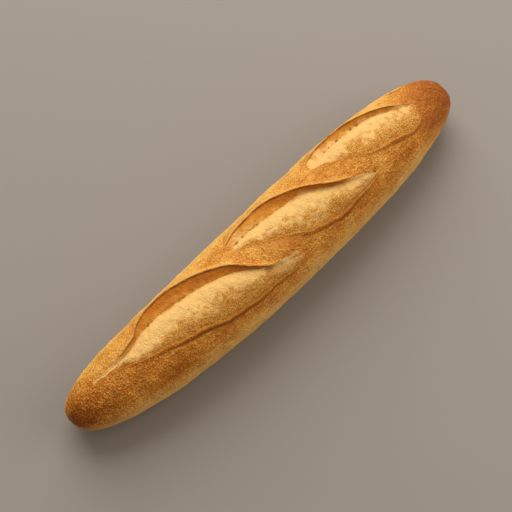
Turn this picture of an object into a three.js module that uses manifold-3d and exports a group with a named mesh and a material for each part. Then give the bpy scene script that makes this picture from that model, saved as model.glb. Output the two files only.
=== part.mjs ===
// A short scored baguette: one loaf, baked in one piece, lying on its flat sole.
// Millimetres, +Z up. X runs along the loaf, +Y is the side that the scores' ears lean to.
// The origin is on the sole, under the middle of the loaf's bounding box.
import * as THREE from "three";
import { mergeVertices } from "three/addons/utils/BufferGeometryUtils.js";
import Module from "manifold-3d";

const wasm = await Module();
wasm.setup();

// Driving dimensions.
const LENGTH = 320;
const WIDTH = 58;
const HEIGHT = 48;
const TIP_HEIGHT = 16; // how high the two pointed ends lie above the table
const SETTLE = 3; // how much of the round belly is pressed flat to make the sole
const WAIST = 0.45; // height of the widest level, as a share of each section's height
const BOW = 5; // how far both ends bend towards +Y
const HOOK = 4.4; // how much further the -X end bends, and the +X end doesn't
const TAPER = 0.04; // the +X end is this share fatter, and the -X end this share slimmer

// Roundness: a higher number makes a squarer outline.
const CROWN_ROUNDNESS = 2.1;
const BELLY_ROUNDNESS = 2.3;

// The scores. The blade opens the crust, one edge lifts as a thin ear, and the inside swells up in between.
const EAR_LIFT = 3;
const EAR_FLAP = 9; // how far behind its edge an ear starts to rise
const EAR_THICKNESS = 1.4;
const CREASE_DEPTH = 2.6;
const TAIL_DEPTH = 0.4; // share of the crease's depth that is left where no ear lifts
const INSIDE_DEPTH = 0.4; // how far the swollen inside stays under the crust's level
const LIP_STEP = 1;
const LEAST_OPENING = 3; // width of the blade's path where it enters and leaves the crust

// Places on the crust are [share of the half length from the middle, degrees round from the crest].
// Each score runs from start to end, and its ear, crease and lip are the lines between them.
// Between its two lifted shares the ear stands up, and beyond them the score is a shallow tail.
const SCORES = [
  {
    start: [-0.84, 10],
    end: [0.08, -45],
    lifted: [-0.78, -0.06],
    ear: [[-0.66, 16], [-0.58, 36], [-0.48, 41], [-0.34, 27], [-0.22, 7], [-0.1, -25], [0, -33]],
    crease: [[-0.7, 13], [-0.58, 24], [-0.42, 18], [-0.28, 6], [-0.18, -8], [-0.1, -27]],
    lip: [[-0.76, 3], [-0.7, -6], [-0.47, -27], [-0.29, -45], [-0.1, -47]],
  },
  {
    start: [-0.17, 19],
    end: [0.49, -37],
    lifted: [-0.2, 0.4],
    ear: [[-0.13, 32], [-0.03, 37], [0.08, 33], [0.19, 16], [0.32, -9], [0.42, -22]],
    crease: [[-0.08, 24], [0, 22], [0.08, 18], [0.2, 11], [0.32, -12]],
    lip: [[-0.06, 2], [0.05, -17], [0.11, -28], [0.2, -40], [0.37, -45]],
  },
  {
    start: [0.28, 27],
    end: [0.83, -8],
    lifted: [0.27, 0.77],
    ear: [[0.34, 42], [0.45, 46], [0.58, 40], [0.68, 26], [0.77, 6]],
    crease: [[0.36, 34], [0.45, 37], [0.54, 37], [0.62, 33], [0.7, 17]],
    lip: [[0.38, 13], [0.5, -9], [0.64, -23], [0.77, -26]],
  },
];

// Mesh fineness.
const AROUND = 44;
const ALONG = 60;
const SCORE_STATIONS = 36;

const DEGREES_PER_MM = THREE.MathUtils.radToDeg(2 / WIDTH); // round the loaf, near its crown
const CLEAR = 12; // how far a cutter stands out of the crust, or the sole's cutter under the table

// How full the loaf is at a share of its half length: 1 in the middle and 0 at the tips.
const fullness = (share, length, blunt) => (1 - Math.abs(share) ** length) ** (1 / blunt);

// The cross-section at a share of the half length.
function section(share) {
  const full = fullness(share, 2.5, 2.8);
  const top = TIP_HEIGHT + (HEIGHT - TIP_HEIGHT) * full;
  const bottom = TIP_HEIGHT - (TIP_HEIGHT + SETTLE) * fullness(share, 3, 3);
  const waist = bottom + WAIST * (top - bottom);
  return {
    x: (share * LENGTH) / 2,
    middle: BOW * share ** 2 - HOOK * share ** 3,
    half: (WIDTH / 2) * full * (1 + TAPER * share),
    waist,
    rise: top - waist,
    drop: waist - bottom,
  };
}

const signedPower = (value, power) => Math.sign(value) * Math.abs(value) ** power;

// The point of the crust at a share of the half length, some degrees round from the crest, moved out by lift.
function crust(share, degrees, lift = 0) {
  const { x, middle, half, waist, rise, drop } = section(share);
  const angle = THREE.MathUtils.degToRad(degrees);
  const upper = Math.cos(angle) >= 0;
  const roundness = upper ? CROWN_ROUNDNESS : BELLY_ROUNDNESS;
  const tall = upper ? rise : drop;
  const y = signedPower(Math.sin(angle), 2 / roundness);
  const z = signedPower(Math.cos(angle), 2 / roundness);
  const point = new THREE.Vector3(x, middle + half * y, waist + tall * z);
  if (lift === 0) return point;
  const outward = new THREE.Vector3(
    0,
    signedPower(y, roundness - 1) / half,
    signedPower(z, roundness - 1) / tall,
  ).normalize();
  return point.addScaledVector(outward, lift);
}

function toSolid(geometry) {
  const bare = geometry.clone();
  bare.deleteAttribute("normal");
  bare.deleteAttribute("uv");
  const merged = mergeVertices(bare, 1e-3);
  return new wasm.Manifold(
    new wasm.Mesh({
      numProp: 3,
      vertProperties: merged.attributes.position.array,
      triVerts: new Uint32Array(merged.index.array),
    }),
  );
}

function toGeometry(solid) {
  const { vertProperties, triVerts } = solid.getMesh();
  const geometry = new THREE.BufferGeometry();
  geometry.setAttribute("position", new THREE.BufferAttribute(vertProperties, 3));
  geometry.setIndex(new THREE.BufferAttribute(triVerts, 1));
  return geometry;
}

// A sphere whose poles become the loaf's two tips, with each vertex moved out to the crust.
function dough() {
  const geometry = new THREE.SphereGeometry(1, AROUND, ALONG).rotateZ(-Math.PI / 2);
  const position = geometry.attributes.position;
  for (let i = 0; i < position.count; i++) {
    const share = THREE.MathUtils.clamp(position.getX(i), -1, 1);
    const degrees = THREE.MathUtils.radToDeg(Math.atan2(position.getY(i), position.getZ(i)));
    position.setXYZ(i, ...crust(share, degrees));
  }
  return toSolid(geometry);
}

// What the table presses flat: everything under the sole's level.
function underTable() {
  const geometry = new THREE.BoxGeometry(2 * LENGTH, 4 * WIDTH, CLEAR);
  return toSolid(geometry.translate(0, 0, -CLEAR / 2));
}

// A smooth line over the crust through a score's start, the given places and its end.
function lineOver(start, places, end) {
  const all = [start, ...places, end];
  const spline = new THREE.CubicInterpolant(
    all.map(([share]) => share),
    all.map(([, degrees]) => degrees),
    1,
  );
  return (share) => spline.evaluate(share)[0];
}

// A closed solid through one outline per station, where outlineAt gives [degrees, lift] places in order.
function loft(score, outlineAt) {
  const corners = outlineAt(score.start[0], 0).length;
  const geometry = new THREE.CylinderGeometry(1, 1, 1, corners, SCORE_STATIONS);
  const position = geometry.attributes.position;
  const at = (share, station, corner) => {
    const outline = outlineAt(share, station / SCORE_STATIONS);
    if (corner >= 0) return crust(share, ...outline[corner % corners]);
    const sum = outline.reduce((total, place) => total.add(crust(share, ...place)), new THREE.Vector3());
    return sum.divideScalar(corners); // the middle of an end cap
  };
  for (let i = 0; i < position.count; i++) {
    const [x, y, z] = [position.getX(i), position.getY(i), position.getZ(i)];
    const station = Math.round((0.5 - y) * SCORE_STATIONS);
    const turn = Math.atan2(x, z) / (2 * Math.PI);
    const corner = Math.hypot(x, z) < 0.5 ? -1 : Math.round((turn + 1) * corners) % corners;
    const share = THREE.MathUtils.lerp(score.start[0], score.end[0], station / SCORE_STATIONS);
    position.setXYZ(i, ...at(share, station, corner));
  }
  return toSolid(geometry);
}

// How open a score is along its way: 0 where the blade goes in and out, 1 in the middle.
const openness = (along) => Math.sin(Math.PI * THREE.MathUtils.clamp(along, 0, 1)) ** 0.6;
const lifting = ({ lifted: [from, to] }, share) => openness((share - from) / (to - from));

function scoreLines(score) {
  const ear = lineOver(score.start, score.ear, score.end);
  const crease = lineOver(score.start, score.crease, score.end);
  const lip = lineOver(score.start, score.lip, score.end);
  const least = (LEAST_OPENING * DEGREES_PER_MM) / 2;
  return (share) => {
    const low = lip(share) - least;
    const bend = Math.max(crease(share), low + least);
    return { ear: Math.max(ear(share), bend) + least, crease: bend, lip: low };
  };
}

// What the opened score takes away: from the ear down to the crease, then over the swollen inside to the lip.
function opening(score) {
  const linesAt = scoreLines(score);
  return loft(score, (share, along) => {
    const { ear, crease, lip } = linesAt(share);
    const open = openness(along);
    const depth = CREASE_DEPTH * THREE.MathUtils.lerp(TAIL_DEPTH, 1, lifting(score, share));
    const under = (drop) => 0.5 - (drop + 0.5) * open;
    return [
      [ear, CLEAR],
      [ear, under(0)],
      [crease, under(depth)],
      [THREE.MathUtils.lerp(crease, lip, 0.25), under(THREE.MathUtils.lerp(depth, INSIDE_DEPTH, 0.6))],
      [THREE.MathUtils.lerp(crease, lip, 0.6), under(INSIDE_DEPTH)],
      [lip, under(LIP_STEP)],
      [lip, CLEAR],
    ];
  });
}

// The ear: a thin flap that rises from the crust to its edge over the crease.
function ear(score) {
  const linesAt = scoreLines(score);
  const flap = EAR_FLAP * DEGREES_PER_MM;
  const edge = EAR_THICKNESS * DEGREES_PER_MM;
  return loft(score, (share, along) => {
    const lines = linesAt(share);
    const open = openness(along);
    const over = (lift) => (lift + 0.5) * lifting(score, share) - 0.5;
    return [
      [lines.ear, over(EAR_LIFT - EAR_THICKNESS / 3)],
      [lines.ear + edge, over(EAR_LIFT)],
      [lines.ear + flap / 2, over(EAR_LIFT * 0.35)],
      [lines.ear + flap, over(0) - 0.1],
      [lines.ear + flap, -EAR_THICKNESS],
      [lines.ear, -EAR_THICKNESS - CREASE_DEPTH],
      [THREE.MathUtils.lerp(lines.ear, lines.crease, 0.8), -(CREASE_DEPTH * 0.8 + 0.3) * open - 0.3],
    ];
  });
}

let loafSolid = dough();
for (const score of SCORES) loafSolid = loafSolid.subtract(opening(score)).add(ear(score));
loafSolid = loafSolid.subtract(underTable());

const loafGeometry = toGeometry(loafSolid);
loafGeometry.computeBoundingBox();
const middle = loafGeometry.boundingBox.getCenter(new THREE.Vector3());
loafGeometry.translate(-middle.x, -middle.y, 0);

const loaf = new THREE.Mesh(
  loafGeometry,
  new THREE.MeshStandardMaterial({ color: 0xc4853a, roughness: 0.62, metalness: 0, flatShading: true }),
);
loaf.name = "loaf";

const baguette = new THREE.Group();
baguette.add(loaf);

export default baguette;
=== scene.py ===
"""A short scored baguette, modelled and baked in one piece, with a small studio to look at it in."""

import math

import bpy
import numpy as np
from bpy.props import (
    FloatProperty,
    FloatVectorProperty,
    IntProperty,
    PointerProperty,
)
from bpy.types import Operator, Panel, PropertyGroup
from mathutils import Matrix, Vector


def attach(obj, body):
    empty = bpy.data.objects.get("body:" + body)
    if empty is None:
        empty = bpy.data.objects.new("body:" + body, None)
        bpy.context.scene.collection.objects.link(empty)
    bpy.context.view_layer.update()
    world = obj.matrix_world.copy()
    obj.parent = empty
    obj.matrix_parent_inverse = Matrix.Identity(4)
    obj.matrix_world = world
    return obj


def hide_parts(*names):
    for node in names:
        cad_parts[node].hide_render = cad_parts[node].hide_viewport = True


bl_info = {
    "name": "Baguette",
    "version": (1, 0, 0),
    "blender": (4, 5, 0),
    "location": "3D View > Sidebar > Baguette",
    "description": "Shapes, scores and bakes a short baguette",
    "category": "Add Mesh",
}

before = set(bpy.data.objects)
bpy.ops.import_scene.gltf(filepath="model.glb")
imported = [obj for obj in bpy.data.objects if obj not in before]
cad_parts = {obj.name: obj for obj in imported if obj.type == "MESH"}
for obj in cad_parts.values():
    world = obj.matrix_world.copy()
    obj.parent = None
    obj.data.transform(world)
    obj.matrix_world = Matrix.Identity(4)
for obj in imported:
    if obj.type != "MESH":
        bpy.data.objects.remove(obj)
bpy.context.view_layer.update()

MM = 0.001
LOAF = "baguette_loaf"

# How the dough's top and belly narrow towards the tips: a higher first number keeps the middle full for
# longer, and a higher second number makes blunter tips.
TOP_NARROWING = (2.5, 2.8)
BELLY_NARROWING = (3, 3)

# Roundness of a cross-section over and under its widest level: a higher number makes a squarer outline.
CROWN_ROUNDNESS = 2.1
BELLY_ROUNDNESS = 2.3

# Widths of a score's parts over the crust: the least that three of them get, and the ear's thin edge.
LEAST_INSIDE = 2.2 * MM
LEAST_FACE = 1.2 * MM
LEAST_FLAP = 1.2 * MM
EDGE_WIDTH = 0.35 * MM

# The sole: how far round from the crest it begins, and how low a bump there is pressed flat.
SOLE_SIDE = 140
SOLE_SLACK = 0.6 * MM

# Fine relief: how far the small grains are bent, and how high the bumps look, in metres.
GRAIN_BEND = 0.0007
BUMP_HEIGHT = 0.0007

# The studio.
FLOOR_SIZE = 6
DAYLIGHT = (1.0, 0.97, 0.93)
WARM_LIGHT = (1.0, 0.93, 0.84)
ROOM_LIGHT = (1.0, 0.84, 0.66, 1)

# Places on the crust are (share of the half length from the middle, degrees round from the crest).
# Each score runs from its start to its end, and its ear, crease and lip are the lines between them.
# The ear's line starts some degrees behind the score's own start.
# The ear stands up between the two lifted shares, and the score's tail beyond them is shallow.
# Browning: how dark the ear's inner face is, partly from baking and partly as painted shade under
# the ear's edge; the higher, the closer to russet.
# Smooth is how smooth and rosy the crust is in the lee of the lip, from 0 to 1.
# Folded is the share of the score's way at which the fold at the lip's foot is full.
# Dusty is how pale and ashen the tail is, and the crust round its end, from 0 to 1.
# Fading is how many millimetres before its end the inside starts to turn into crust.
# Pits are small tears along the crease: (share of the half length, size in millimetres).
SCORES = (
    {
        "start": (-0.885, 13),
        "end": (0.1, -47),
        "lifted": (-0.76, -0.06),
        "ear": (
            (-0.885, 16),
            (-0.66, 16),
            (-0.58, 36),
            (-0.48, 41),
            (-0.34, 27),
            (-0.22, 7),
            (-0.1, -26),
            (0.0, -33),
            (0.05, -39),
        ),
        "crease": ((-0.7, 13), (-0.58, 24), (-0.42, 18), (-0.28, 6), (-0.18, -8), (-0.1, -27)),
        "lip": ((-0.78, 5), (-0.7, -6), (-0.47, -27), (-0.29, -44), (-0.1, -48), (0.04, -51)),
        "browned_and_shaded": 0.75,
        "smooth": 0.0,
        "folded": 0.5,
        "dusty": 1.0,
        "fading": 26,
        "pits": ((-0.57, 1.5), (-0.55, 1.0), (-0.51, 1.4), (-0.485, 1.0), (-0.43, 1.3), (-0.405, 1.1)),
    },
    {
        "start": (-0.17, 19),
        "end": (0.51, -38),
        "lifted": (-0.2, 0.4),
        "ear": (
            (-0.17, 27),
            (-0.13, 32),
            (-0.03, 37),
            (0.08, 33),
            (0.19, 16),
            (0.32, -9),
            (0.42, -23),
        ),
        "crease": ((-0.08, 24), (0.0, 22), (0.08, 18), (0.2, 11), (0.32, -12)),
        "lip": ((-0.06, 2), (0.05, -17), (0.11, -28), (0.2, -38), (0.37, -41)),
        "browned_and_shaded": 0.55,
        "smooth": 1.0,
        "folded": 0.6,
        "dusty": 0.8,
        "fading": 11,
        "pits": ((-0.118, 1.3), (-0.085, 1.6), (-0.045, 1.4), (-0.03, 1.0), (-0.006, 1.3), (0.02, 1.1)),
    },
    {
        "start": (0.28, 27),
        "end": (0.83, -8),
        "lifted": (0.27, 0.77),
        "ear": ((0.28, 36), (0.34, 42), (0.45, 46), (0.58, 40), (0.68, 26), (0.77, 6)),
        "crease": ((0.36, 34), (0.45, 37), (0.54, 37), (0.62, 33), (0.7, 17)),
        "lip": ((0.38, 13), (0.5, -9), (0.64, -23), (0.77, -27)),
        "browned_and_shaded": 0.1,
        "smooth": 0.5,
        "folded": 0.85,
        "dusty": 0.1,
        "fading": 14,
        "pits": ((0.395, 1.3), (0.422, 0.9), (0.468, 1.3), (0.492, 0.9), (0.545, 1.1), (0.571, 1.4)),
    },
)

# A slight fold in the crust that runs over the fat tip, with painted shade at its foot and a painted
# highlight along its crest.
TIP_FOLD = ((0.76, 66), (0.8, 54), (0.845, 45), (0.868, 29), (0.9, 15), (0.93, 4), (0.965, -15))

# How the mesh's lengthwise edges are shared out, from under the loaf up its near side, over its crest and
# down its far side.
BELOW = 52  # from the middle of the sole up to the first lip's foot
OUTSIDE = 4  # from a lip's foot up its outer side
INSIDE = 30  # from a lip to its crease
FACE = 11  # from a crease up the ear's inner face
EDGE = 3  # round an ear's thin edge
FLAP = 8  # from an ear's edge back to where it leaves the crust
BETWEEN = 1  # from one score to the next
ABOVE = 34  # from the last flap over the far side to the middle of the sole
GROUP = OUTSIDE + INSIDE + FACE + EDGE + FLAP
AROUND = BELOW + len(SCORES) * GROUP + (len(SCORES) - 1) * BETWEEN + ABOVE

# What the scores leave on the mesh for the material to read, where 0 is untouched crust.
MASKS = (
    "inside",
    "toast",
    "face",
    "browned_and_shaded",
    "edge",
    "rim_highlight",
    "lip",
    "fold",
    "smooth",
    "tail",
    "dusted",
    "crease",
    "pit",
)


# -------------------------------------------------------------------------------------- settings


def measure(name, what, millimetres):
    return FloatProperty(name=name, description=what, default=millimetres * MM, unit="LENGTH")


def shade(name, what, colour):
    return FloatVectorProperty(name=name, description=what, default=colour, subtype="COLOR", min=0, max=1)


class LoafSettings(PropertyGroup):
    """Sizes of the dough before it is scored."""

    length: measure("Length", "From tip to tip", 320)
    width: measure("Width", "At the middle", 58)
    height: measure("Height", "At the middle, without the ears", 48)
    tip_height: measure("Tip height", "How high the tips lie", 16)
    settle: measure("Settle", "How much of the belly is pressed flat to make the sole", 3)
    waist: FloatProperty(name="Waist", description="Widest level, as a share of the height", default=0.45)
    bow: measure("Bow", "How far the ends bend sideways", 5)
    hook: measure("Hook", "How much further the slim end bends, and the fat end doesn't", 4.4)
    taper: FloatProperty(name="Taper", description="How much fatter one end is", default=0.04)
    rows: IntProperty(name="Rows", description="Cross-sections along the loaf", default=386)


class ScoreSettings(PropertyGroup):
    """Sizes of the opened scores."""

    ear_lift: measure("Ear lift", "How high an ear's edge stands", 2.7)
    ear_flap: measure("Ear flap", "How far back an ear rises", 9.0)
    ear_thickness: measure("Ear thickness", "At its edge", 0.8)
    crease_depth: measure("Crease depth", "Under the crust's level", 1.9)
    inside_rise: measure("Inside rise", "How far the inside swells", 0.6)
    lip_ridge: measure("Lip ridge", "How far the lip stands up", 1.2)
    lip_side: measure("Lip side", "Width of the lip's outer side", 2.6)
    lip_step: measure("Lip step", "Drop from the lip to the inside", 1.0)
    fold_depth: measure("Fold depth", "At the lip's foot", 0.6)
    tip_fold: measure("Tip fold", "Height of the fold over the fat tip", 0.5)


class ReliefSettings(PropertyGroup):
    """Lumps and blisters of the baked surface."""

    lump_size: measure("Lump size", "Across", 24)
    lump_height: measure("Lump height", "Crest to trough", 1.6)
    ripple_size: measure("Ripple size", "Across", 6)
    ripple_height: measure("Ripple height", "Crest to trough", 0.5)
    blister_size: measure("Blister size", "Across", 2)
    blister_height: measure("Blister height", "Crest to trough", 0.5)
    crumb_size: measure("Crumb size", "Of the torn inside", 4.5)
    crumb_height: measure("Crumb height", "Crest to trough", 1.1)


class BakeSettings(PropertyGroup):
    """Colours of the baked loaf."""

    amber: shade("Amber", "The crust's darkest colour, at the well-baked ends", (0.2, 0.05, 0.003))
    brown: shade("Brown", "The crust's dark colour", (0.33, 0.095, 0.007))
    golden: shade("Golden", "The crust's main colour", (0.52, 0.21, 0.024))
    straw: shade("Straw", "The crust's palest colour, in its flour specks", (0.68, 0.38, 0.09))
    cream: shade("Cream", "The inside close to the crease", (0.69, 0.43, 0.145))
    sand: shade("Sand", "The inside close to the lip", (0.54, 0.26, 0.038))
    # Russet is also painted as shade: in the creases and, partly, high on the ears' inner faces.
    russet: shade("Russet", "The lips and the upper side of the ears' faces", (0.4, 0.125, 0.01))
    # Burnt stands for burnt crust on the ears' edges, and for painted shade there and in the folds.
    burnt: shade("Burnt", "The ears' thin edges and the folds", (0.2, 0.05, 0.004))
    # Painted shade inside the small tears along the creases.
    hollow: shade("Hollow", "The tears along the creases", (0.24, 0.13, 0.022))
    umber: shade("Umber", "The dark specks of the sandy inside", (0.34, 0.115, 0.01))
    rosy: shade("Rosy", "The smooth crust in the lee of a lip", (0.56, 0.25, 0.075))
    # The lower flanks' paler colour is partly their own and partly painted bounce light from the floor.
    floury: shade("Floury", "The lower flanks, which baked least", (0.7, 0.48, 0.2))
    ashen: shade("Ashen", "The scores' shallow tails", (0.58, 0.36, 0.12))


class StageSettings(PropertyGroup):
    """The camera and the lights."""

    azimuth: FloatProperty(
        name="Azimuth",
        description="Camera's turn about the loaf",
        default=math.radians(-45.6),
        subtype="ANGLE",
    )
    elevation: FloatProperty(
        name="Elevation",
        description="Camera's height angle",
        default=math.radians(68),
        subtype="ANGLE",
    )
    distance: FloatProperty(name="Distance", description="Camera to target", default=0.744, unit="LENGTH")
    lens: FloatProperty(name="Lens", description="Focal length in millimetres", default=85.0)
    target: FloatVectorProperty(
        name="Target",
        description="Where the camera looks",
        default=(-0.0102, 0.0041, 0.0216),
        subtype="XYZ",
    )
    key_power: FloatProperty(name="Key light", description="Power in watts", default=62.0)
    fill_power: FloatProperty(name="Fill light", description="Power in watts", default=10.0)
    world_light: FloatProperty(name="Room light", description="Strength of the even light", default=0.4)


# -------------------------------------------------------------------------------------- the loaf's form


def fullness(share, length, blunt):
    """1 in the middle of the loaf and 0 at its tips."""
    return np.clip(1 - np.abs(share) ** length, 0, 1) ** (1 / blunt)


def signed_power(value, power):
    return np.sign(value) * np.abs(value) ** power


def section(loaf, share):
    """The cross-section's middle, half width, waist level, and rise and drop from there."""
    full = fullness(share, *TOP_NARROWING)
    top = loaf.tip_height + (loaf.height - loaf.tip_height) * full
    bottom = loaf.tip_height - (loaf.tip_height + loaf.settle) * fullness(share, *BELLY_NARROWING)
    waist = bottom + loaf.waist * (top - bottom)
    middle = loaf.bow * share**2 - loaf.hook * share**3
    half = loaf.width / 2 * full * (1 + loaf.taper * share)
    return middle, half, waist, top - waist, waist - bottom


def crust_points(loaf, share, degrees, lift):
    """Points of the crust at shares of the half length and degrees round from the crest, moved out by
    lift."""
    middle, half, waist, rise, drop = section(loaf, share)
    angle = np.radians(degrees)
    upper = np.cos(angle) >= 0
    roundness = np.where(upper, CROWN_ROUNDNESS, BELLY_ROUNDNESS)
    tall = np.where(upper, rise, drop)
    y = signed_power(np.sin(angle), 2 / roundness)
    z = signed_power(np.cos(angle), 2 / roundness)
    # Outwards, at right angles to the section's outline. The tips have no width to divide by.
    out_y = signed_power(y, roundness - 1) / np.maximum(half, 1e-6)
    out_z = signed_power(z, roundness - 1) / np.maximum(tall, 1e-6)
    size = np.hypot(out_y, out_z) + 1e-9
    x = share * loaf.length / 2 + 0 * y
    return np.stack(
        (x, middle + half * y + lift * out_y / size, waist + tall * z + lift * out_z / size),
        axis=-1,
    )


def even_shares(loaf):
    """Shares of the half length that are evenly far apart over the crust, from tip to tip."""
    share = np.cos(np.linspace(math.pi, 0, 4001))
    _, half, _, rise, _ = section(loaf, share)
    steps = np.hypot(np.diff(share) * loaf.length / 2, np.diff((half + rise) / 2))
    way = np.concatenate(((0,), np.cumsum(steps)))
    return np.interp(np.linspace(0, way[-1], loaf.rows + 1), way, share)


# -------------------------------------------------------------------------------------- the scores' lines


def smooth_line(places):
    """A function for the smooth line through places, which go up in their first number."""
    x, y = np.array(places, float).T
    slope = np.gradient(y, x)

    def line(at):
        i = np.clip(np.searchsorted(x, at) - 1, 0, len(x) - 2)
        span = x[i + 1] - x[i]
        t = np.clip((at - x[i]) / span, 0, 1)
        return (
            y[i] * (1 + 2 * t) * (1 - t) ** 2
            + slope[i] * span * t * (1 - t) ** 2
            + y[i + 1] * t * t * (3 - 2 * t)
            + slope[i + 1] * span * t * t * (t - 1)
        )

    return line


def smooth_step(value, low, high):
    t = np.clip((value - low) / (high - low), 0, 1)
    return t * t * (3 - 2 * t)


def waver(share, phase):
    """A slight unsteadiness in degrees, as dough has where it tears."""
    return 0.9 * np.sin(41 * share + phase) + 0.35 * np.sin(97 * share + 3 * phase)


def score_lines(loaf, score, shape, share):
    """Degrees of the lip's foot, the lip, the crease, the ear's edge and the flap's root for each share,
    and how far the score is open and its ear lifted there."""
    per_metre = math.degrees(2 / loaf.width)
    start, end = score["start"], score["end"]
    lip, crease = (smooth_line((start, *score[name], end))(share) for name in ("lip", "crease"))
    ear = smooth_line((*score["ear"], end))(share)
    opened, lifted = (
        np.sin(math.pi * np.clip((share - low) / (high - low), 0, 1)) ** 0.6
        for low, high in ((start[0], end[0]), score["lifted"])
    )
    lip = lip + opened * waver(share, start[1])
    ear = ear + 0.5 * lifted * waver(share, end[1])
    crease = np.maximum(crease, lip + LEAST_INSIDE * per_metre)
    ear = np.maximum(ear, crease + LEAST_FACE * per_metre)
    foot = lip - shape.lip_side * per_metre
    root = ear + (LEAST_FLAP + shape.ear_flap * lifted) * per_metre
    return (foot, lip, crease, ear, root), opened, lifted


class Layout:
    """Where each lengthwise edge of the mesh lies on each cross-section, so that whole edges follow the
    scores."""

    # A round metric in which the hidden underside counts for less.
    GIRTH = (-180.0, -108, -95, 95, 108, 180)
    METRIC = (-135.0, -105, -95, 95, 105, 135)
    PINNED = 1e6  # how hard the middle of the sole is held in its place
    GRIP = 0.3  # how hard a score holds its edges
    REACH = (1 * MM, 26 * MM)  # over this way past its ends, a score lets go of its edges
    APART = 0.5  # degrees between two scores' edges
    ROOT_APART = 0.6  # degrees between a flap's root and the next score's foot
    LEAST_ROOT = 1  # degrees between an ear's edge and its flap's root
    LEAST_STEP = 0.03  # in the metric, between two lengthwise edges of the mesh

    def __init__(self, loaf, shape, share):
        per_metre = math.degrees(2 / loaf.width)
        self.lines = [score_lines(loaf, score, shape, share) for score in SCORES]
        counts = [BELOW]
        for _ in SCORES:
            counts += [OUTSIDE, INSIDE, FACE, EDGE, FLAP, BETWEEN]
        counts[-1] = ABOVE
        self.counts = np.array(counts)
        pins = np.zeros((len(share), len(counts) + 1))
        hold = np.zeros_like(pins)
        pins[:, 0], pins[:, -1] = -180, 180
        hold[:, 0] = hold[:, -1] = self.PINNED
        # Where a score hasn't begun or has ended, its six lines keep at least this far from its neighbour.
        gap = np.array((0, 0.7, 2.2, 3.2, 3.5, 4.2)) * MM * per_metre
        groups = self.score_edges(share, EDGE_WIDTH * per_metre)
        for k, score in enumerate(SCORES):
            place = groups[k]
            before = share < score["start"][0]
            after = share > score["end"][0]
            if k > 0:
                floor = groups[k - 1][:, -1:] + self.APART + gap
                place = np.where(before[:, None], np.maximum(place, floor), place)
            if k + 1 < len(SCORES):
                roof = groups[k + 1][:, :1] - self.APART - gap[::-1]
                place = np.where(after[:, None], np.minimum(place, roof), place)
            away = np.maximum(score["start"][0] - share, share - score["end"][0]) * loaf.length / 2
            near = 1 - smooth_step(away, *self.REACH)
            first = 1 + 6 * k
            pins[:, first : first + 6] = place
            hold[:, first : first + 6] = (near / (1.0001 - near))[:, None] * self.GRIP
        self.knots = self.settle(self.to_metric(pins), hold)

    def score_edges(self, share, edge):
        """For each score, the degrees of its foot, lip, crease, ear's underside, ear's top and root."""
        groups = []
        for k, (lines, _, _) in enumerate(self.lines):
            foot, lip, crease, ear, root = lines
            if k + 1 < len(SCORES):
                begun = share > SCORES[k + 1]["start"][0]
                next_foot = self.lines[k + 1][0][0]
                root = np.where(begun, np.minimum(root, next_foot - self.ROOT_APART), root)
            root = np.maximum(root, ear + edge + self.LEAST_ROOT)
            groups.append(np.stack((foot, lip, crease, ear, ear + edge, root), 1))
        return groups

    def to_metric(self, degrees):
        return np.interp(degrees, self.GIRTH, self.METRIC)

    def to_degrees(self, metric):
        return np.interp(metric, self.METRIC, self.GIRTH)

    def settle(self, pins, hold):
        """Knots on springs, evenly stretched between the pins that hold them."""
        stiff = 1.0 / self.counts
        result = np.empty_like(pins)
        for row in range(len(pins)):
            matrix = np.diag(hold[row])
            for j, s in enumerate(stiff):
                matrix[j, j] += s
                matrix[j + 1, j + 1] += s
                matrix[j, j + 1] -= s
                matrix[j + 1, j] -= s
            result[row] = np.linalg.solve(matrix, hold[row] * pins[row])
        for j, count in enumerate(self.counts):
            least = result[:, j] + self.LEAST_STEP * count
            result[:, j + 1] = np.maximum(result[:, j + 1], least)
        return result

    def columns(self):
        """For each cross-section, the degrees of every lengthwise edge."""
        starts = np.concatenate(((0,), np.cumsum(self.counts)))
        metric = np.empty((len(self.knots), AROUND))
        for j, count in enumerate(self.counts):
            part = np.arange(count) / count
            low, high = self.knots[:, j : j + 1], self.knots[:, j + 1 : j + 2]
            metric[:, starts[j] : starts[j + 1]] = low + (high - low) * part
        return self.to_degrees(metric)

    def group(self, k):
        """The columns of a score's foot, lip, crease, ear's underside, ear's top and flap's root."""
        steps = np.cumsum((0, OUTSIDE, INSIDE, FACE, EDGE, FLAP))
        return tuple(BELOW + k * (GROUP + BETWEEN) + steps)


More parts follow.
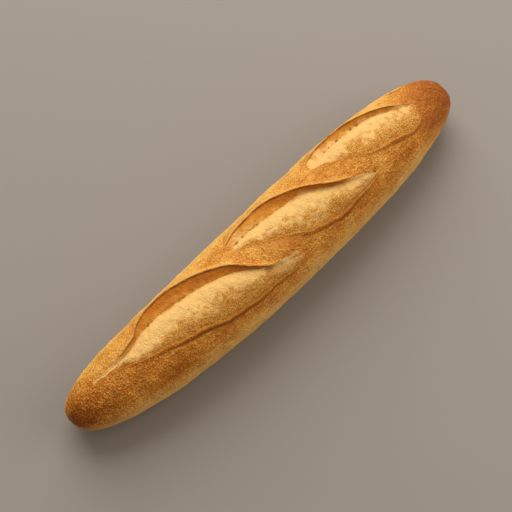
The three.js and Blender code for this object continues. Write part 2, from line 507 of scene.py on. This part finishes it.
class OpenedScore:
    """One score on the mesh's grid: how it lifts and lowers the grid's points, and what it marks there."""

    def __init__(self, loaf, shape, share, degrees, layout, k):
        self.score = score = SCORES[k]
        self.shape = shape
        self.degrees = degrees
        self.half_length = loaf.length / 2
        self.share = share[:, None]
        self.columns = layout.group(k)
        (_, lip, crease, _, _), opened, lifted = layout.lines[k]
        self.opened, self.lifted = opened[:, None], lifted[:, None]
        self.crease = crease[:, None]
        self.metres_per_degree = loaf.width / 2 * math.pi / 180
        self.width = (crease - lip)[:, None] * self.metres_per_degree
        start, end = score["start"][0], score["end"][0]
        self.along = np.clip((share - start) / (end - start), 0, 1)[:, None]
        self.past_end = (self.share - end) * loaf.length / 2
        lip_column = self.columns[1]
        outside = degrees[:, lip_column : lip_column + 1] - degrees[:, :lip_column]
        self.down = np.maximum(outside, 0) * self.metres_per_degree
        self.depth = shape.crease_depth * (0.25 * self.opened + 0.75 * self.lifted)
        self.folded = smooth_step(self.along, score["folded"] - 0.5, score["folded"]) * self.opened
        self.fade = smooth_step(self.opened, 0.1, 0.45)
        self.lifted_fade = smooth_step(self.lifted, 0.15, 0.6)

    def raise_inside(self, lift):
        """From the lip over the swollen inside down to the crease."""
        _, lip, crease, _, _, _ = self.columns
        shape = self.shape
        s = np.linspace(0, 1, INSIDE + 1)[None, :]
        bulge = shape.inside_rise * np.sin(math.pi * np.clip(s * 1.1, 0, 1)) ** 0.8
        step = -shape.lip_step * np.exp(-s * self.width / (1.3 * MM))
        drop = np.exp(-(((1 - s) * self.width / (3.6 * MM)) ** 1.4))
        drop = -(self.depth + 0.2 * MM * self.opened) * drop
        lift[:, lip : crease + 1] = (bulge + step) * self.opened + drop

    def raise_ear(self, lift):
        """Up the ear's inner face, round its edge and back down the flap."""
        _, _, crease, under, over, root = self.columns
        shape, up = self.shape, self.lifted
        top = shape.ear_lift * up + 0.3 * MM * self.opened * (1 - up)
        bottom = top - shape.ear_thickness * up
        s = np.linspace(0, 1, FACE + 1)[None, 1:]
        lift[:, crease + 1 : under + 1] = -self.depth + (bottom + self.depth) * s**1.15
        s = np.linspace(0, 1, EDGE + 1)[None, 1:]
        lift[:, under + 1 : over + 1] = bottom + (top - bottom) * np.sin(s * math.pi / 2)
        s = np.linspace(0, 1, FLAP + 1)[None, 1:]
        lift[:, over + 1 : root + 1] = top * ((1 - s) ** 2 * (1 + 1.2 * s))

    def raise_lip(self, lift):
        """The ridged lip, its outer side and the fold at its foot."""
        lip, shape, down = self.columns[1], self.shape, self.down
        ridge = shape.lip_ridge * self.opened * (0.35 + 0.65 * smooth_step(self.along, 0.15, 0.6))
        lift[:, lip] += ridge[:, 0] + shape.lip_step * self.opened[:, 0]
        lift[:, :lip] += ridge * np.exp(-((down / (0.55 * shape.lip_side)) ** 1.6))
        fold = np.exp(-(((down - shape.lip_side) / (0.9 * MM)) ** 2))
        lift[:, :lip] -= shape.fold_depth * self.folded * fold

    def mark_inside(self, masks):
        """Where the torn inside lies, how toasted it is, and where it fades out at the score's end."""
        _, lip, crease, under, _, _ = self.columns
        score, along, past_end = self.score, self.along, self.past_end
        inside = self.fade * smooth_step(-past_end, 0, score["fading"] * MM)
        masks["inside"][:, lip + 1 : under + 1] = inside
        masks["inside"][:, (lip, under + 1)] = 0.5 * inside
        tail = self.fade * (1 - smooth_step(self.lifted, 0.0, 0.7)) * (along > 0.5)
        masks["tail"][:, lip : under + 2] = tail * score["dusty"]
        aside = (self.degrees - score["end"][1]) * self.metres_per_degree
        dust = np.exp(-((past_end / (17 * MM)) ** 2) - (aside / (8 * MM)) ** 2) * score["dusty"] ** 2
        masks["dusted"] = np.maximum(masks["dusted"], dust)
        s = np.linspace(0, 1, INSIDE + 1)[None, :]
        toast = (1 - s) * (0.5 + 0.75 * along) + 0.45 * smooth_step(along, 0.72, 0.95)
        masks["toast"][:, lip : crease + 1] = toast
        band = np.clip(1 - s * self.width / (1.6 * MM), 0, 1)
        masks["lip"][:, lip : crease + 1] = band * self.fade

    def mark_ear(self, masks):
        """The ear's inner face, its thin edge, the rim behind that and the crease. The face's browning and
        the edge's darkness are partly painted shade, the rim is a painted highlight and the crease is
        painted shade.
        """
        _, _, crease, under, over, root = self.columns
        masks["face"][:, crease + 1 : under + 2] = self.lifted_fade
        fired = 0.35 + 0.65 * smooth_step(self.along, 0.1, 0.4)
        s = np.append(np.linspace(0, 1, FACE + 1), 1)
        # The face darkens up towards the ear's edge, partly browning and partly painted shade.
        masks["browned_and_shaded"][:, crease : under + 2] = (s + self.score["browned_and_shaded"]) * fired
        # The ear's thin edge is darkened: partly a burnt edge, partly painted shade under it.
        masks["edge"][:, under : over + 1] = self.lifted_fade
        masks["edge"][:, (under - 1, over + 1)] = 0.2 * self.lifted_fade
        s = np.linspace(0, 1, FLAP + 1)[None, :]
        # Painted highlight: the flap just behind the ear's edge is made paler.
        masks["rim_highlight"][:, over : root + 1] = np.clip(1 - 2 * s, 0, 1) * self.lifted_fade
        # Painted shade in the crease under the ear.
        masks["crease"][:, crease - 1 : crease + 3] = self.lifted_fade

    def mark_lip(self, masks):
        """The lip's band, the fold's band, which is painted shade at the lip's foot, and the smooth crust
        in the lip's lee.
        """
        lip, down = self.columns[1], self.down
        lip_band = np.clip(1 - np.abs(down) / (3 * MM), 0, 1) * self.fade
        # The fold's band is painted shade below the lip's ridge.
        fold_band = np.clip(1 - np.abs(down - self.shape.lip_side) / (1.8 * MM), 0, 1) * self.folded
        lee = np.exp(-(((down - 5 * MM) / (3.5 * MM)) ** 2))
        lee = lee * np.exp(-(((self.along - 0.24) / 0.14) ** 2))
        smooth_band = lee * self.score["smooth"]
        for name, band in (("lip", lip_band), ("fold", fold_band), ("smooth", smooth_band)):
            masks[name][:, :lip] = np.maximum(masks[name][:, :lip], band)

    def tear_crease(self, lift, masks):
        """Small slanted tears along the crease."""
        for place, size in self.score["pits"]:
            off = (self.share - place) * self.half_length
            slant = 0.5 * math.sin(900 * place)
            across = (self.degrees - (self.crease + 1.2)) * self.metres_per_degree - slant * off
            hole = np.exp(-((off / (size * MM)) ** 2 + (across / (size * 0.5 * MM)) ** 2))
            lift -= 0.35 * size * MM * hole
            # The pit marks where shade is painted inside the tear.
            masks["pit"] = np.maximum(masks["pit"], hole)


def fold_tip(loaf, shape, share, degrees, lift, masks):
    """A low crest over the fat tip, with a shallow fold at its foot. The foot is painted darker as shade
    and the crest paler as a highlight.
    """
    half = section(loaf, share)[1]
    off = (degrees - smooth_line(TIP_FOLD)(share)[:, None]) * half[:, None] * math.pi / 180
    (first, _), (second, _), *_, (last_but_one, _), (last, _) = TIP_FOLD
    there = smooth_step(share, first, second) * smooth_step(share, last, last_but_one)
    crest = np.exp(-((off / (1.1 * MM)) ** 2)) * there[:, None]
    foot = np.exp(-(((off + 1.7 * MM) / (0.9 * MM)) ** 2)) * there[:, None]
    lift += shape.tip_fold * crest
    lift -= 0.6 * shape.tip_fold * foot
    # Painted shade at the fold's foot, and a painted highlight along the crest.
    masks["fold"] = np.maximum(masks["fold"], 0.85 * foot)
    masks["rim_highlight"] = np.maximum(masks["rim_highlight"], 0.9 * crest)


def open_scores(loaf, shape, share, layout):
    """How far each grid point is lifted, and the masks that tell the score's parts from the crust."""
    degrees = layout.columns()
    lift = np.zeros_like(degrees)
    masks = {name: np.zeros_like(degrees) for name in MASKS}
    for k in range(len(SCORES)):
        opened = OpenedScore(loaf, shape, share, degrees, layout, k)
        opened.raise_inside(lift)
        opened.raise_ear(lift)
        opened.raise_lip(lift)
        opened.mark_inside(masks)
        opened.mark_ear(masks)
        opened.mark_lip(masks)
        opened.tear_crease(lift, masks)
    fold_tip(loaf, shape, share, degrees, lift, masks)
    return degrees, lift, masks


# -------------------------------------------------------------------------------------- small helpers


def deselect():
    if bpy.context.object and bpy.context.object.mode != "OBJECT":
        bpy.ops.object.mode_set(mode="OBJECT")
    bpy.ops.object.select_all(action="DESELECT")


def make_active(piece):
    deselect()
    piece.select_set(True)
    bpy.context.view_layer.objects.active = piece


def get_points(mesh):
    co = np.empty(len(mesh.vertices) * 3)
    mesh.vertices.foreach_get("co", co)
    return co.reshape(-1, 3)


def set_points(mesh, points):
    mesh.vertices.foreach_set("co", np.ascontiguousarray(points, dtype=np.float32).ravel())
    mesh.update()


def get_mask(mesh, name):
    values = np.empty(len(mesh.vertices), dtype=np.float32)
    mesh.attributes[name].data.foreach_get("value", values)
    return values


def paint_group(piece, name, weights):
    """A vertex group with these weights, in steps of a tenth."""
    group = piece.vertex_groups.new(name=name)
    tenths = np.rint(np.clip(weights, 0, 1) * 10).astype(int)
    for step in range(1, 11):
        group.add(np.flatnonzero(tenths == step).tolist(), step / 10, "REPLACE")


def add_mask(mesh, name, values):
    mask = mesh.attributes.new(name, "FLOAT", "POINT")
    mask.data.foreach_set("value", np.ascontiguousarray(values, dtype=np.float32))


# -------------------------------------------------------------------------------------- operators


class BAGUETTE_OT_shape_loaf(Operator):
    """Shape the dough, open its scores and lift their ears"""

    bl_idname = "baguette.shape_loaf"
    bl_label = "Shape the loaf"

    def execute(self, context):
        loaf, shape = context.scene.baguette_loaf, context.scene.baguette_scores
        deselect()
        bpy.ops.mesh.primitive_uv_sphere_add(segments=AROUND, ring_count=loaf.rows, radius=1)
        piece = context.object
        piece.name = piece.data.name = LOAF
        mesh = piece.data
        ball = get_points(mesh)
        # The ball's poles become the tips, and each of its rings a cross-section.
        row = np.rint(np.arccos(np.clip(ball[:, 2], -1, 1)) / math.pi * loaf.rows).astype(int)
        turn = np.arctan2(ball[:, 1], ball[:, 0]) / (2 * math.pi)
        column = np.rint(turn * AROUND).astype(int) % AROUND
        share = even_shares(loaf)
        layout = Layout(loaf, shape, share)
        degrees, lift, masks = open_scores(loaf, shape, share, layout)
        grid = crust_points(loaf, share[:, None], degrees, lift)
        points = grid[row, column]
        points[:, 2] = np.maximum(points[:, 2], 0)
        set_points(mesh, points)
        for name, values in masks.items():
            add_mask(mesh, name, values[row, column])
        add_mask(mesh, "share", share[row])
        # Sides are told by their distance round from the crest, which has no seam under the loaf.
        around = degrees[row, column]
        add_mask(mesh, "side", np.abs(around))
        add_mask(mesh, "far", smooth_step(around, -12, 55) - smooth_step(around, 62, 110))
        bpy.ops.object.shade_smooth()
        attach(piece, "root")
        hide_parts("loaf")
        return {"FINISHED"}


class BAGUETTE_OT_roughen_crust(Operator):
    """Give the crust its lumps and blisters, and the inside of the scores its torn crumb"""

    bl_idname = "baguette.roughen_crust"
    bl_label = "Roughen the crust"

    def execute(self, context):
        relief = context.scene.baguette_relief
        piece = bpy.data.objects[LOAF]
        make_active(piece)
        mesh = piece.data
        inside, pit = get_mask(mesh, "inside"), get_mask(mesh, "pit")
        paint_group(piece, "crust", 1 - inside)
        paint_group(piece, "crumb", inside * (1 - pit))
        self.displace(piece, "lumps", relief.lump_size, relief.lump_height, "")
        self.displace(piece, "ripples", relief.ripple_size, relief.ripple_height, "")
        self.displace(piece, "blisters", relief.blister_size, relief.blister_height, "crust")
        self.displace(piece, "torn_crumb", relief.crumb_size, relief.crumb_height, "crumb")
        self.displace(piece, "fine_crumb", relief.crumb_size * 0.4, relief.crumb_height * 0.4, "crumb")
        # The sole stays flat on the table.
        points = get_points(mesh)
        under = get_mask(mesh, "side") > SOLE_SIDE
        points[:, 2] = np.maximum(points[:, 2], 0)
        points[under & (points[:, 2] < SOLE_SLACK), 2] = 0
        set_points(mesh, points)
        piece.vertex_groups.clear()
        return {"FINISHED"}

    def displace(self, piece, name, size, height, group):
        texture = bpy.data.textures.new(name, "CLOUDS")
        texture.noise_scale = size
        texture.noise_depth = 2
        modifier = piece.modifiers.new(name, "DISPLACE")
        modifier.texture = texture
        modifier.texture_coords = "LOCAL"
        modifier.strength = height
        modifier.mid_level = 0.5
        modifier.vertex_group = group
        bpy.ops.object.modifier_apply(modifier=name)


class BAGUETTE_OT_bake_crust(Operator):
    """Colour the loaf as it comes out of the oven"""

    bl_idname = "baguette.bake_crust"
    bl_label = "Bake the crust"

    def execute(self, context):
        piece = bpy.data.objects[LOAF]
        piece.data.materials.clear()
        piece.data.materials.append(BakedCrust(context.scene.baguette_bake).material)
        return {"FINISHED"}


class BAGUETTE_OT_stage(Operator):
    """Set up the floor, the lights and the camera"""

    bl_idname = "baguette.stage"
    bl_label = "Set up the studio"

    def execute(self, context):
        stage = context.scene.baguette_stage
        deselect()
        bpy.ops.mesh.primitive_plane_add(size=FLOOR_SIZE, location=(0, 0, 0))
        floor = context.object
        floor.name = "studio_floor"
        floor.data.materials.append(floor_material())

        target = Vector(stage.target)
        back = Vector(
            (
                math.sin(stage.azimuth) * math.cos(stage.elevation),
                -math.cos(stage.azimuth) * math.cos(stage.elevation),
                math.sin(stage.elevation),
            )
        )
        bpy.ops.object.camera_add(location=target + back * stage.distance)
        camera = context.object
        camera.name = "studio_camera"
        camera.rotation_euler = back.to_track_quat("Z", "Y").to_euler()
        camera.data.lens = stage.lens
        camera.data.clip_end = 20
        context.scene.camera = camera

        self.area_light("key_light", (0.83, 1.3, 1.3), 2.0, stage.key_power, DAYLIGHT)
        self.area_light("fill_light", (0.9, -0.75, 0.75), 1.2, stage.fill_power, WARM_LIGHT)
        world = bpy.data.worlds.new("studio_room")
        world.use_nodes = True
        background = world.node_tree.nodes["Background"]
        background.inputs["Color"].default_value = ROOM_LIGHT
        background.inputs["Strength"].default_value = stage.world_light
        context.scene.world = world
        context.scene.view_settings.view_transform = "Standard"
        return {"FINISHED"}

    def area_light(self, name, place, size, power, colour):
        bpy.ops.object.light_add(type="AREA", location=place)
        light = bpy.context.object
        light.name = name
        light.rotation_euler = Vector(place).to_track_quat("Z", "Y").to_euler()
        light.data.size = size
        light.data.energy = power
        light.data.color = colour


# -------------------------------------------------------------------------------------- materials


class Nodes:
    """Adds nodes to a tree in short calls that return their main output."""

    def __init__(self, tree):
        self.tree = tree

    def add(self, kind, inputs=(), output=0, **settings):
        node = self.tree.nodes.new(kind)
        for name, value in settings.items():
            setattr(node, name, value)
        for socket, value in dict(inputs).items():
            self.plug(value, node.inputs[socket])
        return node.outputs[output]

    def plug(self, value, socket):
        if isinstance(value, bpy.types.NodeSocket):
            self.tree.links.new(value, socket)
        else:
            socket.default_value = value

    def mask(self, name):
        return self.add("ShaderNodeAttribute", attribute_name=name, output="Fac")

    def math(self, operation, a, b=0.0):
        return self.add("ShaderNodeMath", {0: a, 1: b}, operation=operation)

    def plus(self, result, *terms):
        for term in terms:
            result = self.math("ADD", result, term)
        return result

    def times(self, result, *factors):
        for factor in factors:
            result = self.math("MULTIPLY", result, factor)
        return result

    def total(self, *terms):
        """The sum of (amount, value) terms, each value counted from its middle of 0.5."""
        parts = []
        for amount, value in terms:
            inputs = {0: value, 1: amount, 2: -0.5 * amount}
            parts.append(self.add("ShaderNodeMath", inputs, operation="MULTIPLY_ADD"))
        return self.plus(*parts)

    def fit(self, value, low, high, out_low=0.0, out_high=1.0, kind="LINEAR"):
        """The value's way from low to high, as a number from out_low to out_high."""
        inputs = {"Value": value, "From Min": low, "From Max": high}
        inputs |= {"To Min": out_low, "To Max": out_high}
        return self.add("ShaderNodeMapRange", inputs, interpolation_type=kind, clamp=True)

    def noise(self, place, scale, detail=2.0, rough=0.5, stretch=None):
        if stretch:
            place = self.add("ShaderNodeMapping", {"Vector": place, "Scale": stretch})
        inputs = {"Vector": place, "Scale": scale, "Detail": detail, "Roughness": rough}
        return self.add("ShaderNodeTexNoise", inputs, output="Fac")

    def cells(self, place, scale):
        inputs = {"Vector": place, "Scale": scale, "Smoothness": 0.35}
        return self.add("ShaderNodeTexVoronoi", inputs, output="Distance", feature="SMOOTH_F1")

    def ramp(self, value, stops):
        """A colour for each value, from (value, colour) stops."""
        node = self.tree.nodes.new("ShaderNodeValToRGB")
        self.plug(value, node.inputs["Fac"])
        points = node.color_ramp.elements
        for point, (place, colour) in zip(points, (stops[0], stops[-1])):
            point.position, point.color = place, colour
        for place, colour in stops[1:-1]:
            points.new(place).color = colour
        return node.outputs["Color"]

    def mix(self, amount, a, b):
        inputs = {"Factor": amount, 6: a, 7: b}
        return self.add("ShaderNodeMix", inputs, output=2, data_type="RGBA")


def sandy_grain():
    """A group that scatters small raised grains. It puts out how far a point is up a grain, and the
    ground's unevenness."""
    tree = bpy.data.node_groups.new("sandy_grain", "ShaderNodeTree")
    tree.interface.new_socket("Vector", in_out="INPUT", socket_type="NodeSocketVector")
    for name, value in (("Grain Size", 0.0011), ("Cover", 0.5)):
        socket = tree.interface.new_socket(name, in_out="INPUT", socket_type="NodeSocketFloat")
        socket.default_value = value
    for name in ("Grain", "Height"):
        tree.interface.new_socket(name, in_out="OUTPUT", socket_type="NodeSocketFloat")
    nodes = Nodes(tree)
    start = tree.nodes.new("NodeGroupInput")
    end = tree.nodes.new("NodeGroupOutput")
    place, cover = start.outputs["Vector"], start.outputs["Cover"]
    scale = nodes.math("DIVIDE", 1.0, start.outputs["Grain Size"])
    # The grains' outlines are bent a little, so that they aren't all round.
    warp = nodes.add("ShaderNodeTexNoise", {"Vector": place, "Scale": 700.0}, output="Color")
    bend = nodes.add("ShaderNodeVectorMath", {0: warp, 1: (GRAIN_BEND,) * 3}, operation="MULTIPLY")
    place = nodes.add("ShaderNodeVectorMath", {0: place, 1: bend}, operation="ADD")
    dome = nodes.fit(nodes.cells(place, scale), 0.75, 0.1)
    clump = nodes.noise(place, nodes.times(scale, 0.35), 2.0)
    here = nodes.fit(nodes.plus(clump, cover), 0.85, 1.15)
    grain = nodes.times(dome, nodes.fit(here, 0.0, 1.0, 0.25, 1.0))
    fine = nodes.noise(place, nodes.times(scale, 2.2), 1.0)
    nodes.plug(grain, end.inputs["Grain"])
    nodes.plug(nodes.plus(nodes.times(grain, 0.7), nodes.times(fine, 0.3)), end.inputs["Height"])
    return tree


class BakedCrust:
    """The material of the whole loaf, told apart by the masks that its scores left on the mesh."""

    def __init__(self, bake):
        self.material = bpy.data.materials.new("baked_crust")
        self.material.use_nodes = True
        self.tree = self.material.node_tree
        self.nodes = nodes = Nodes(self.tree)
        self.colour = {name: (*getattr(bake, name), 1) for name in BakeSettings.__annotations__}
        self.mask = {name: nodes.mask(name) for name in MASKS}
        self.share, self.side, self.far = (nodes.mask(name) for name in ("share", "side", "far"))
        place = nodes.add("ShaderNodeTexCoord", output="Object")
        self.patches = nodes.noise(place, 42.0, 3.0, 0.55)
        self.mottle = nodes.noise(place, 240.0, 3.0, 0.6)
        self.fleck = nodes.noise(place, 1150.0, 2.0, 0.65)
        self.wrinkle = nodes.noise(place, 420.0, 2.0, 0.6, stretch=(0.14, 1.0, 1.0))
        grains = sandy_grain()
        self.coarse, self.coarse_height = self.grain(grains, place, 0.0013, 0.55)
        self.fine, self.fine_height = self.grain(grains, place, 0.0009, 0.62)
        self.calm = nodes.fit(self.mask["smooth"], 0.1, 0.7, 1.0, 0.2)

        slim_tip, fat_tip = self.tips()
        tone = self.tone(slim_tip, fat_tip)
        opened = nodes.mix(self.mask["face"], self.crumb(), self.ear_face())
        frayed = nodes.plus(self.mask["inside"], nodes.total((1.6, self.mottle), (0.8, self.fleck)))
        base = nodes.mix(nodes.fit(frayed, 0.25, 0.75), self.crust(tone, fat_tip), opened)
        rough = nodes.fit(nodes.plus(tone, nodes.times(self.mask["inside"], 0.5)), 0.2, 1.2, 0.5, 0.8)
        shader = self.tree.nodes["Principled BSDF"]
        nodes.plug(self.with_lines(base), shader.inputs["Base Color"])
        nodes.plug(rough, shader.inputs["Roughness"])
        nodes.plug(self.relief(), shader.inputs["Normal"])
        shader.inputs["Specular IOR Level"].default_value = 0.14

    def grain(self, grains, place, size, cover):
        node = self.tree.nodes.new("ShaderNodeGroup")
        node.node_tree = grains
        self.nodes.plug(place, node.inputs["Vector"])
        node.inputs["Grain Size"].default_value = size
        node.inputs["Cover"].default_value = cover
        return node.outputs["Grain"], node.outputs["Height"]

    def tips(self):
        """How much darker the crust baked towards the slim tip and towards the fat one."""
        nodes = self.nodes
        uneven = nodes.total((0.3, self.patches))
        slim = nodes.fit(nodes.math("SUBTRACT", uneven, self.share), 0.76, 1.06)
        slim = nodes.times(slim, nodes.fit(self.far, 0.35, 0.0, 0.5, 0.95))
        fat = nodes.fit(nodes.plus(uneven, self.share), 0.74, 1.02, 0.0, 1.7)
        fat = nodes.times(fat, nodes.fit(self.far, 0.0, 1.0, 0.95, 1.2))
        return slim, fat

    def tone(self, slim_tip, fat_tip):
        """The crust's tone, from 0, amber, to 1, straw: dark at the tips, and paler down the flanks and over
        the far side, where the paleness is partly painted sheen of the lit side."""
        nodes, mask, far = self.nodes, self.mask, self.far
        flank = nodes.fit(self.side, 46.0, 92.0)
        tip = nodes.math("MAXIMUM", slim_tip, fat_tip)
        creased = nodes.times(nodes.total((1.0, self.wrinkle)), nodes.fit(flank, 0.0, 1.0, 0.4, 1.1))
        specks = nodes.plus(nodes.total((1.7, self.fleck), (0.3, self.coarse)), creased)
        # The specks are fainter over the far side, partly as painted sheen of the lit side.
        strength = nodes.total((1.0, slim_tip), (-0.5, fat_tip), (-0.6, far))
        strength = nodes.times(self.calm, nodes.fit(strength, -0.05, 0.75, 0.75, 1.35))
        crest = nodes.fit(self.side, 36.0, 6.0, kind="SMOOTHSTEP")
        inner = nodes.fit(nodes.math("ABSOLUTE", self.share), 0.75, 0.5)
        sole = nodes.fit(self.side, 122.0, 150.0, 0.0, 0.3)
        uneven = ((1.1, self.patches), (0.5, self.mottle))
        tone = nodes.plus(
            # Paler over the far side, partly the crust's own colour and partly painted sheen of the lit
            # side.
            nodes.total(*uneven, (0.46, flank), (-0.38, tip), (0.32, far)),
            nodes.times(specks, strength),
            # Painted highlight: paler on the rim behind each ear's edge and along the crest over the fat
            # tip.
            nodes.times(mask["rim_highlight"], 0.26),
            nodes.times(crest, inner, 0.12),
            nodes.times(mask["dusted"], 0.3),
        )
        return nodes.plus(nodes.math("SUBTRACT", tone, sole), 0.76)

    def crust(self, tone, fat_tip):
        nodes, colour = self.nodes, self.colour
        stops = ((0.0, "amber"), (0.34, "brown"), (0.68, "golden"), (1.0, "straw"))
        crust = nodes.ramp(tone, [(value, colour[name]) for value, name in stops])
        # Paler lower flanks: partly their own colour, partly painted bounce light from the floor.
        flank_and_bounce = nodes.fit(self.side, 58.0, 90.0, 0.0, 0.33)
        flank_and_bounce = nodes.times(flank_and_bounce, nodes.fit(fat_tip, 0.0, 1.2, 1.0, 0.1))
        crust = nodes.mix(flank_and_bounce, crust, colour["floury"])
        return nodes.mix(nodes.fit(self.mask["smooth"], 0.2, 0.9, 0.0, 0.45), crust, colour["rosy"])

    def crumb(self):
        """The inside: cream by the crease and sandy towards the lip, where it baked longer."""
        nodes, mask, colour, mottle, fleck = self.nodes, self.mask, self.colour, self.mottle, self.fleck
        border = nodes.plus(mask["toast"], nodes.total((1.6, self.patches), (1.2, mottle)))
        sandy = nodes.fit(border, 0.34, 0.68)
        crumb = nodes.mix(nodes.fit(sandy, 0.0, 1.0, 0.0, 0.8), colour["cream"], colour["sand"])
        speck = nodes.fit(nodes.total((2.6, fleck), (0.6, self.fine), (0.6, mottle)), 0.12, -0.22)
        speck = nodes.times(speck, nodes.fit(sandy, 0.0, 1.0, 0.06, 0.8))
        crumb = nodes.mix(speck, crumb, colour["umber"])
        pale = nodes.fit(nodes.total((2.0, fleck), (1.0, mottle)), -0.3, 0.2, 0.15, 0.8)
        return nodes.mix(nodes.times(mask["tail"], pale), crumb, colour["ashen"])

    def ear_face(self):
        """The ear's inner face goes from the crease's cream up to russet under its edge: partly browning,
        partly painted shade under the edge.
        """
        nodes, colour = self.nodes, self.colour
        terms = ((0.75, self.mask["browned_and_shaded"]), (1.0, self.mottle), (0.6, self.fleck), (0.8, self.patches))
        stops = ((0.0, "cream"), (0.45, "golden"), (0.95, "russet"))
        browned_and_shaded = nodes.plus(nodes.total(*terms), 0.35)
        return nodes.ramp(browned_and_shaded, [(value, colour[name]) for value, name in stops])

    def with_lines(self, base):
        """Lips, folds, edges, creases and tears over the base colour, each wavering with the mottle. The
        edges are partly burnt and partly painted shade; the folds, creases and tears are painted shade."""
        nodes, mask, colour, mottle = self.nodes, self.mask, self.colour, self.mottle
        lip = nodes.fit(nodes.plus(mask["lip"], nodes.total((1.1, mottle))), 0.2, 0.8, 0.0, 0.8)
        lip_colour = nodes.mix(nodes.fit(self.fleck, 0.45, 0.65), colour["russet"], colour["golden"])
        # Painted shade at the lip's foot and in the fold over the fat tip.
        fold = nodes.plus(mask["fold"], nodes.total((1.2, mottle), (2.0, self.patches)))
        fold = nodes.fit(fold, 0.3, 0.8, 0.0, 0.8)
        # The ear's thin edge: partly burnt crust, partly painted shade under the edge.
        edge = nodes.times(mask["edge"], nodes.fit(mottle, 0.35, 0.6, 0.35, 0.8))
        # Painted shade in the crease under the ear, in russet.
        crease = nodes.times(mask["crease"], nodes.fit(mottle, 0.45, 0.65, 0.0, 0.3))
        # Painted shade inside the tears along the creases.
        shaded_tear = nodes.fit(nodes.plus(mask["pit"], nodes.total((2.0, mottle))), 0.35, 0.75, 0.0, 0.85)
        for amount, line_colour in (
            (lip, lip_colour),
            (fold, colour["burnt"]),
            (edge, colour["burnt"]),
            (crease, colour["russet"]),
            (shaded_tear, colour["hollow"]),
        ):
            base = nodes.mix(amount, base, line_colour)
        return base

    def relief(self):
        """The fine unevenness that catches the light: grains, mottle, flecks and wrinkles."""
        nodes, inside = self.nodes, self.mask["inside"]
        inputs = {"Factor": inside, 2: self.coarse_height, 3: self.fine_height}
        grains = nodes.add("ShaderNodeMix", inputs, data_type="FLOAT")
        height = nodes.total((1.0, grains), (0.8, self.mottle), (0.4, self.fleck), (0.5, self.wrinkle))
        even = nodes.times(self.calm, nodes.fit(self.side, 62.0, 100.0, 1.0, 0.55))
        height = nodes.times(height, nodes.fit(inside, 0.0, 1.0, 1.0, 0.55), even)
        bump = {"Height": height, "Strength": 1.0, "Distance": BUMP_HEIGHT}
        return nodes.add("ShaderNodeBump", bump)


def floor_material():
    material = bpy.data.materials.new("studio_floor")
    material.use_nodes = True
    shader = material.node_tree.nodes["Principled BSDF"]
    shader.inputs["Base Color"].default_value = (0.233, 0.213, 0.197, 1)
    shader.inputs["Roughness"].default_value = 0.8
    return material


# -------------------------------------------------------------------------------------- add-on


class BAGUETTE_PT_panel(Panel):
    """Everything that the add-on makes, in the 3D view's sidebar"""

    bl_label = "Baguette"
    bl_idname = "BAGUETTE_PT_panel"
    bl_space_type = "VIEW_3D"
    bl_region_type = "UI"
    bl_category = "Baguette"

    def draw(self, context):
        layout = self.layout
        for settings in SETTINGS:
            group = getattr(context.scene, settings)
            box = layout.box()
            for name in group.__annotations__:
                box.prop(group, name)
        for operator in OPERATORS:
            layout.operator(operator.bl_idname)


OPERATORS = (
    BAGUETTE_OT_shape_loaf,
    BAGUETTE_OT_roughen_crust,
    BAGUETTE_OT_bake_crust,
    BAGUETTE_OT_stage,
)
SETTINGS = {
    "baguette_loaf": LoafSettings,
    "baguette_scores": ScoreSettings,
    "baguette_relief": ReliefSettings,
    "baguette_bake": BakeSettings,
    "baguette_stage": StageSettings,
}
CLASSES = (*SETTINGS.values(), *OPERATORS, BAGUETTE_PT_panel)


def register():
    for cls in CLASSES:
        bpy.utils.register_class(cls)
    for name, settings in SETTINGS.items():
        setattr(bpy.types.Scene, name, PointerProperty(type=settings))


def unregister():
    for name in SETTINGS:
        delattr(bpy.types.Scene, name)
    for cls in reversed(CLASSES):
        bpy.utils.unregister_class(cls)


def main():
    register()
    bpy.ops.baguette.shape_loaf()
    bpy.ops.baguette.roughen_crust()
    bpy.ops.baguette.bake_crust()
    bpy.ops.baguette.stage()


if __name__ == "__main__":
    main()
